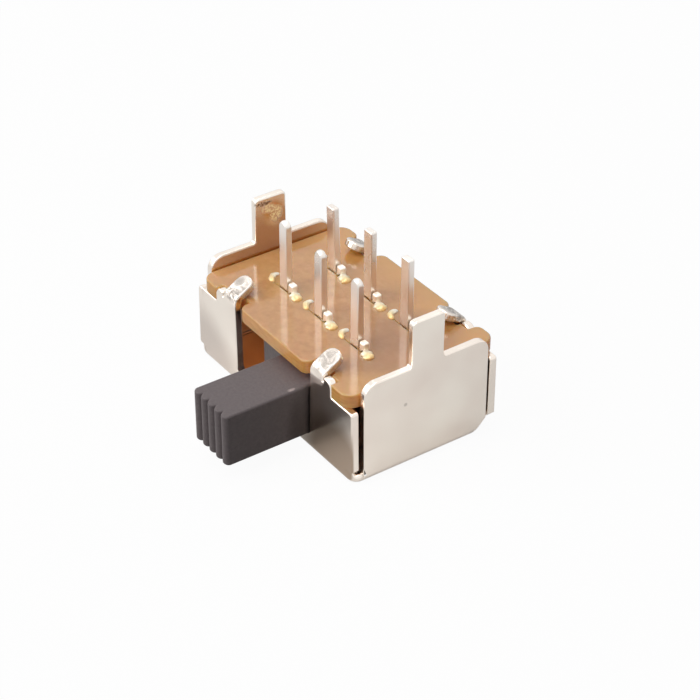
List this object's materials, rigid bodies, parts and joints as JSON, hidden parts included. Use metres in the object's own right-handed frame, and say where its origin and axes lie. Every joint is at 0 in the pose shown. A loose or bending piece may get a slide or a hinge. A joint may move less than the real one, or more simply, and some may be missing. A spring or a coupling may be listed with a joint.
{
  "type": "slide switch",
  "caption": "Right-angle slide switch: folded steel frame, terminal board with upright pins, and a dark ribbed handle sliding in a front window.",
  "frame": {"origin": "middle of the steel frame's flat bottom face, which the switch stands on", "axes": "+X along the rows of pins and the slide, -Y the way the handle points, +Z the way the pins point"},
  "size_m": [0.0114, 0.011, 0.0072],
  "materials": {
    "plated_steel": "bright nickel plate on folded steel sheet",
    "phenolic_board": "glossy tan paper laminate with raw cut edges",
    "handle_plastic": "dark grey moulded plastic, satin",
    "plated_terminal": "bright plated stamping",
    "spring_bronze": "bare spring bronze",
    "bright_steel": "bright spring and bearing steel"
  },
  "bodies": {
    "frame": {"frame": "plated_steel", "terminal_board": "phenolic_board", "terminal_front_1": "plated_terminal", "terminal_front_2": "plated_terminal", "terminal_front_3": "plated_terminal", "terminal_rear_1": "plated_terminal", "terminal_rear_2": "plated_terminal", "terminal_rear_3": "plated_terminal"},
    "slider": {"slider": "handle_plastic", "contact_clip_front": "spring_bronze", "contact_clip_rear": "spring_bronze", "detent_ball": "bright_steel", "detent_spring": "bright_steel"}
  },
  "joints": [
    {"name": "handle_slide", "type": "slide", "parent": "frame", "child": "slider", "axis": [1, 0, 0], "range_m": [-0.0028, 0]}
  ]
}
